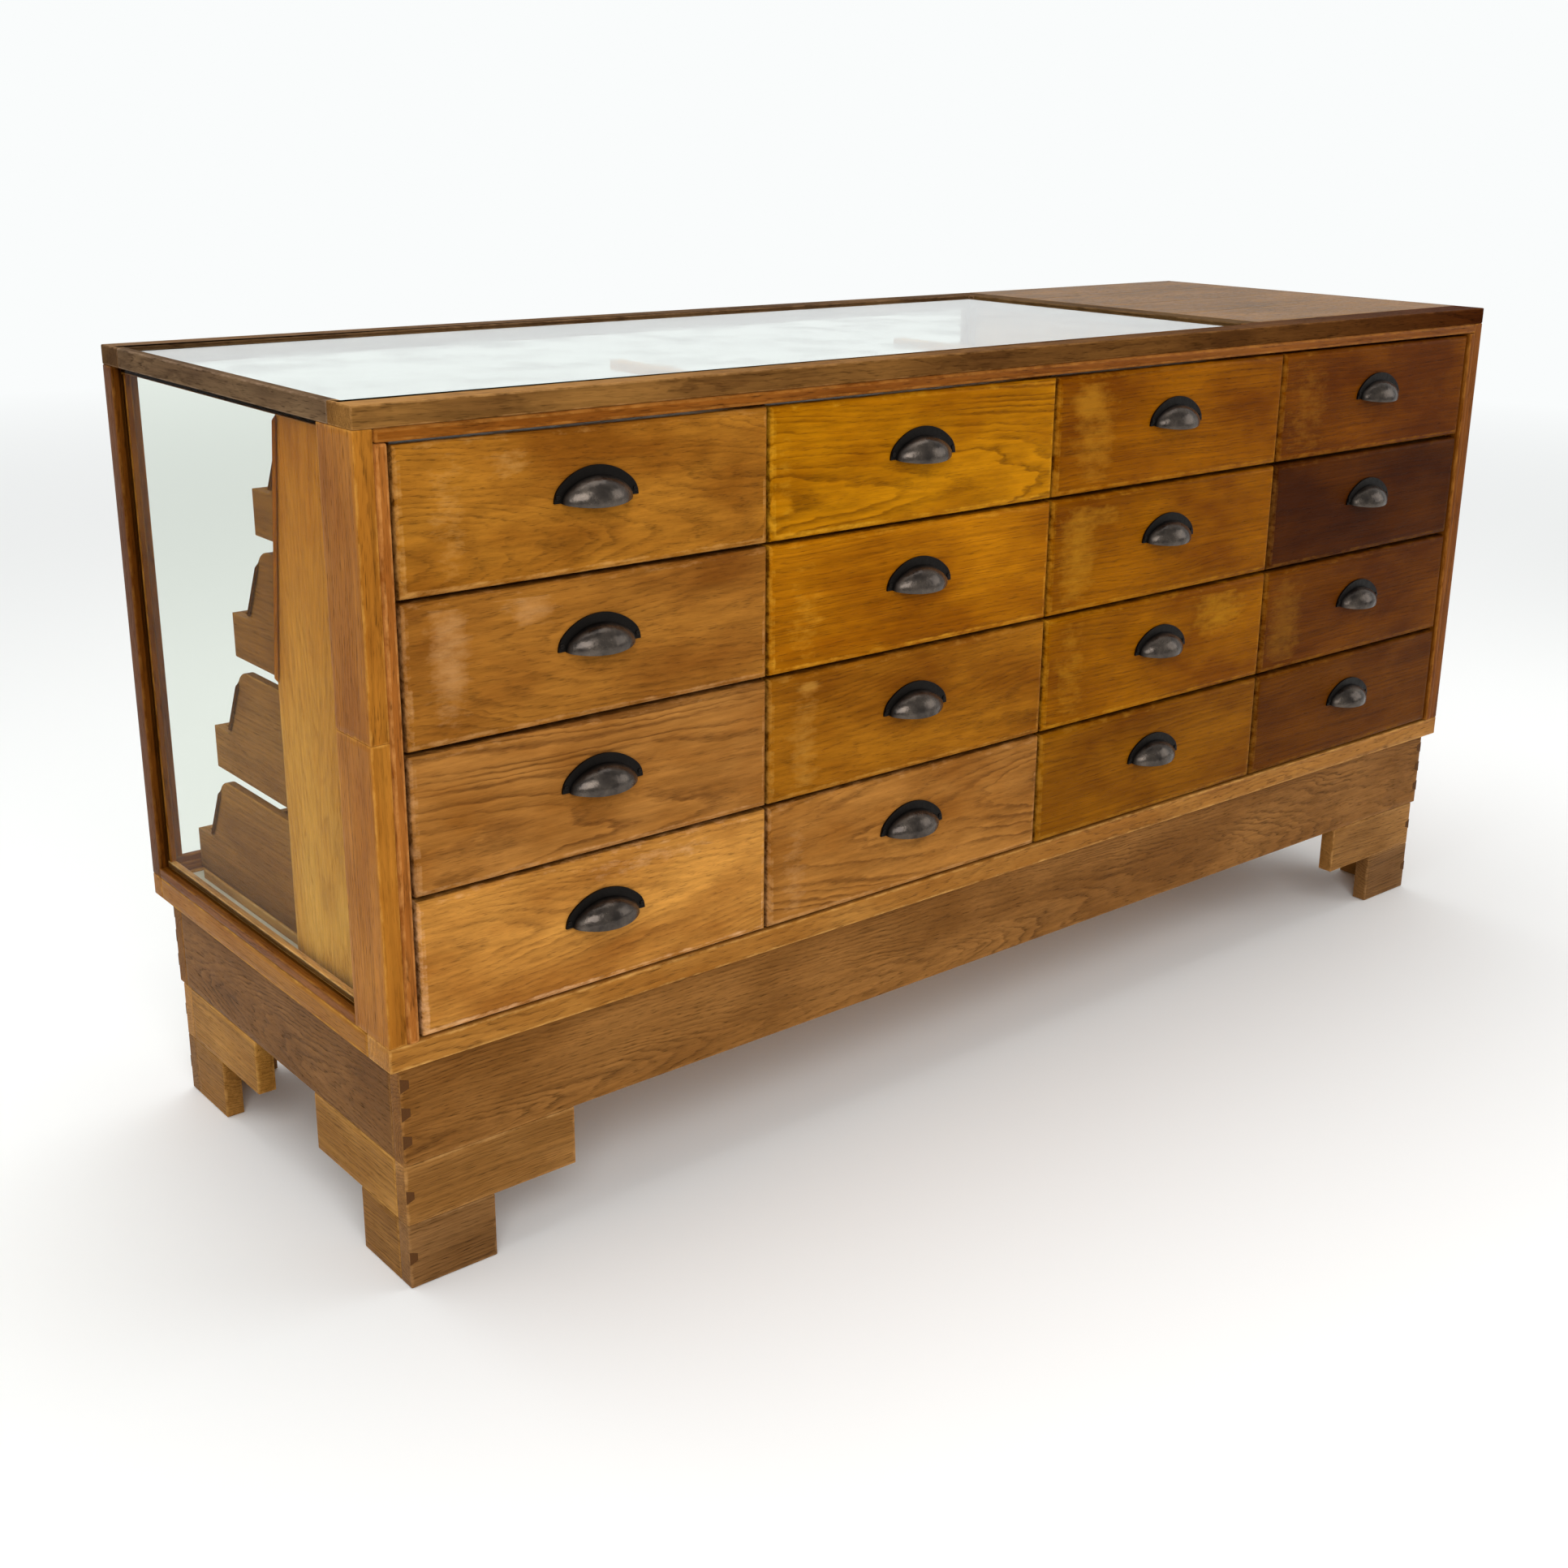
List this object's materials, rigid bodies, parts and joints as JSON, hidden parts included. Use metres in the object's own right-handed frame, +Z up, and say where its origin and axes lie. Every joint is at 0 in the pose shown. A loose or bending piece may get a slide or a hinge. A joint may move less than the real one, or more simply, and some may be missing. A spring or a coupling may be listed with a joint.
{
  "type": "glazed drawer counter",
  "caption": "Glazed oak shop counter on stepped feet, with stepped-depth display drawers, cup pulls and a wooden till top.",
  "frame": {"origin": "centre of the footprint, pulls included, on the floor", "axes": "+X along the length, from the glazed left end to the till end; -Y out of the drawer fronts; +Z up"},
  "size_m": [1.83, 0.626, 0.918],
  "materials": {
    "carcase_oak": "varnished, worn",
    "plinth_oak": "dull varnish",
    "top_oak": "worn varnish",
    "inner_pine": "thin varnish",
    "drawer_oak": "satin varnish",
    "glass": "clear plate",
    "pull_bronze": "dark bronzed, satin"
  },
  "bodies": {
    "carcase": {"plinth_front": "plinth_oak", "plinth_back": "plinth_oak", "plinth_ends": "plinth_oak", "foot_front_left": "plinth_oak", "foot_front_right": "plinth_oak", "foot_back_left": "plinth_oak", "foot_back_right": "plinth_oak", "base_frame": "carcase_oak", "floor_board": "inner_pine", "post_front_left": "carcase_oak", "post_front_right": "carcase_oak", "posts_back": "carcase_oak", "top_rail_front": "top_oak", "top_rail_back": "top_oak", "top_rail_left": "top_oak", "top_rail_cross": "top_oak", "till_top": "top_oak", "glass_top": "glass", "glass_left": "glass", "glass_back": "glass", "panel_right": "carcase_oak", "panel_back": "carcase_oak", "upright_left": "inner_pine", "uprights_middle": "inner_pine", "till_partition": "carcase_oak", "runner_frames": "inner_pine", "front_beads": "carcase_oak", "sills_and_glazing_beads": "carcase_oak"},
    "drawer_row1_column1": {"drawer_row1_column1": "drawer_oak", "pull_row1_column1": "pull_bronze"},
    "drawer_row1_column2": {"drawer_row1_column2": "drawer_oak", "pull_row1_column2": "pull_bronze"},
    "drawer_row1_column3": {"drawer_row1_column3": "drawer_oak", "pull_row1_column3": "pull_bronze"},
    "drawer_row1_column4": {"drawer_row1_column4": "drawer_oak", "pull_row1_column4": "pull_bronze"},
    "drawer_row2_column1": {"drawer_row2_column1": "drawer_oak", "pull_row2_column1": "pull_bronze"},
    "drawer_row2_column2": {"drawer_row2_column2": "drawer_oak", "pull_row2_column2": "pull_bronze"},
    "drawer_row2_column3": {"drawer_row2_column3": "drawer_oak", "pull_row2_column3": "pull_bronze"},
    "drawer_row2_column4": {"drawer_row2_column4": "drawer_oak", "pull_row2_column4": "pull_bronze"},
    "drawer_row3_column1": {"drawer_row3_column1": "drawer_oak", "pull_row3_column1": "pull_bronze"},
    "drawer_row3_column2": {"drawer_row3_column2": "drawer_oak", "pull_row3_column2": "pull_bronze"},
    "drawer_row3_column3": {"drawer_row3_column3": "drawer_oak", "pull_row3_column3": "pull_bronze"},
    "drawer_row3_column4": {"drawer_row3_column4": "drawer_oak", "pull_row3_column4": "pull_bronze"},
    "drawer_row4_column1": {"drawer_row4_column1": "drawer_oak", "pull_row4_column1": "pull_bronze"},
    "drawer_row4_column2": {"drawer_row4_column2": "drawer_oak", "pull_row4_column2": "pull_bronze"},
    "drawer_row4_column3": {"drawer_row4_column3": "drawer_oak", "pull_row4_column3": "pull_bronze"},
    "drawer_row4_column4": {"drawer_row4_column4": "drawer_oak", "pull_row4_column4": "pull_bronze"}
  },
  "joints": [
    {"name": "row1_column1_slide", "type": "slide", "parent": "carcase", "child": "drawer_row1_column1", "axis": [0, -1, 0], "range_m": [0, 0.2]},
    {"name": "row1_column2_slide", "type": "slide", "parent": "carcase", "child": "drawer_row1_column2", "axis": [0, -1, 0], "range_m": [0, 0.2]},
    {"name": "row1_column3_slide", "type": "slide", "parent": "carcase", "child": "drawer_row1_column3", "axis": [0, -1, 0], "range_m": [0, 0.2]},
    {"name": "row1_column4_slide", "type": "slide", "parent": "carcase", "child": "drawer_row1_column4", "axis": [0, -1, 0], "range_m": [0, 0.2]},
    {"name": "row2_column1_slide", "type": "slide", "parent": "carcase", "child": "drawer_row2_column1", "axis": [0, -1, 0], "range_m": [0, 0.277]},
    {"name": "row2_column2_slide", "type": "slide", "parent": "carcase", "child": "drawer_row2_column2", "axis": [0, -1, 0], "range_m": [0, 0.277]},
    {"name": "row2_column3_slide", "type": "slide", "parent": "carcase", "child": "drawer_row2_column3", "axis": [0, -1, 0], "range_m": [0, 0.277]},
    {"name": "row2_column4_slide", "type": "slide", "parent": "carcase", "child": "drawer_row2_column4", "axis": [0, -1, 0], "range_m": [0, 0.277]},
    {"name": "row3_column1_slide", "type": "slide", "parent": "carcase", "child": "drawer_row3_column1", "axis": [0, -1, 0], "range_m": [0, 0.354]},
    {"name": "row3_column2_slide", "type": "slide", "parent": "carcase", "child": "drawer_row3_column2", "axis": [0, -1, 0], "range_m": [0, 0.354]},
    {"name": "row3_column3_slide", "type": "slide", "parent": "carcase", "child": "drawer_row3_column3", "axis": [0, -1, 0], "range_m": [0, 0.354]},
    {"name": "row3_column4_slide", "type": "slide", "parent": "carcase", "child": "drawer_row3_column4", "axis": [0, -1, 0], "range_m": [0, 0.354]},
    {"name": "row4_column1_slide", "type": "slide", "parent": "carcase", "child": "drawer_row4_column1", "axis": [0, -1, 0], "range_m": [0, 0.431]},
    {"name": "row4_column2_slide", "type": "slide", "parent": "carcase", "child": "drawer_row4_column2", "axis": [0, -1, 0], "range_m": [0, 0.431]},
    {"name": "row4_column3_slide", "type": "slide", "parent": "carcase", "child": "drawer_row4_column3", "axis": [0, -1, 0], "range_m": [0, 0.431]},
    {"name": "row4_column4_slide", "type": "slide", "parent": "carcase", "child": "drawer_row4_column4", "axis": [0, -1, 0], "range_m": [0, 0.431]}
  ]
}
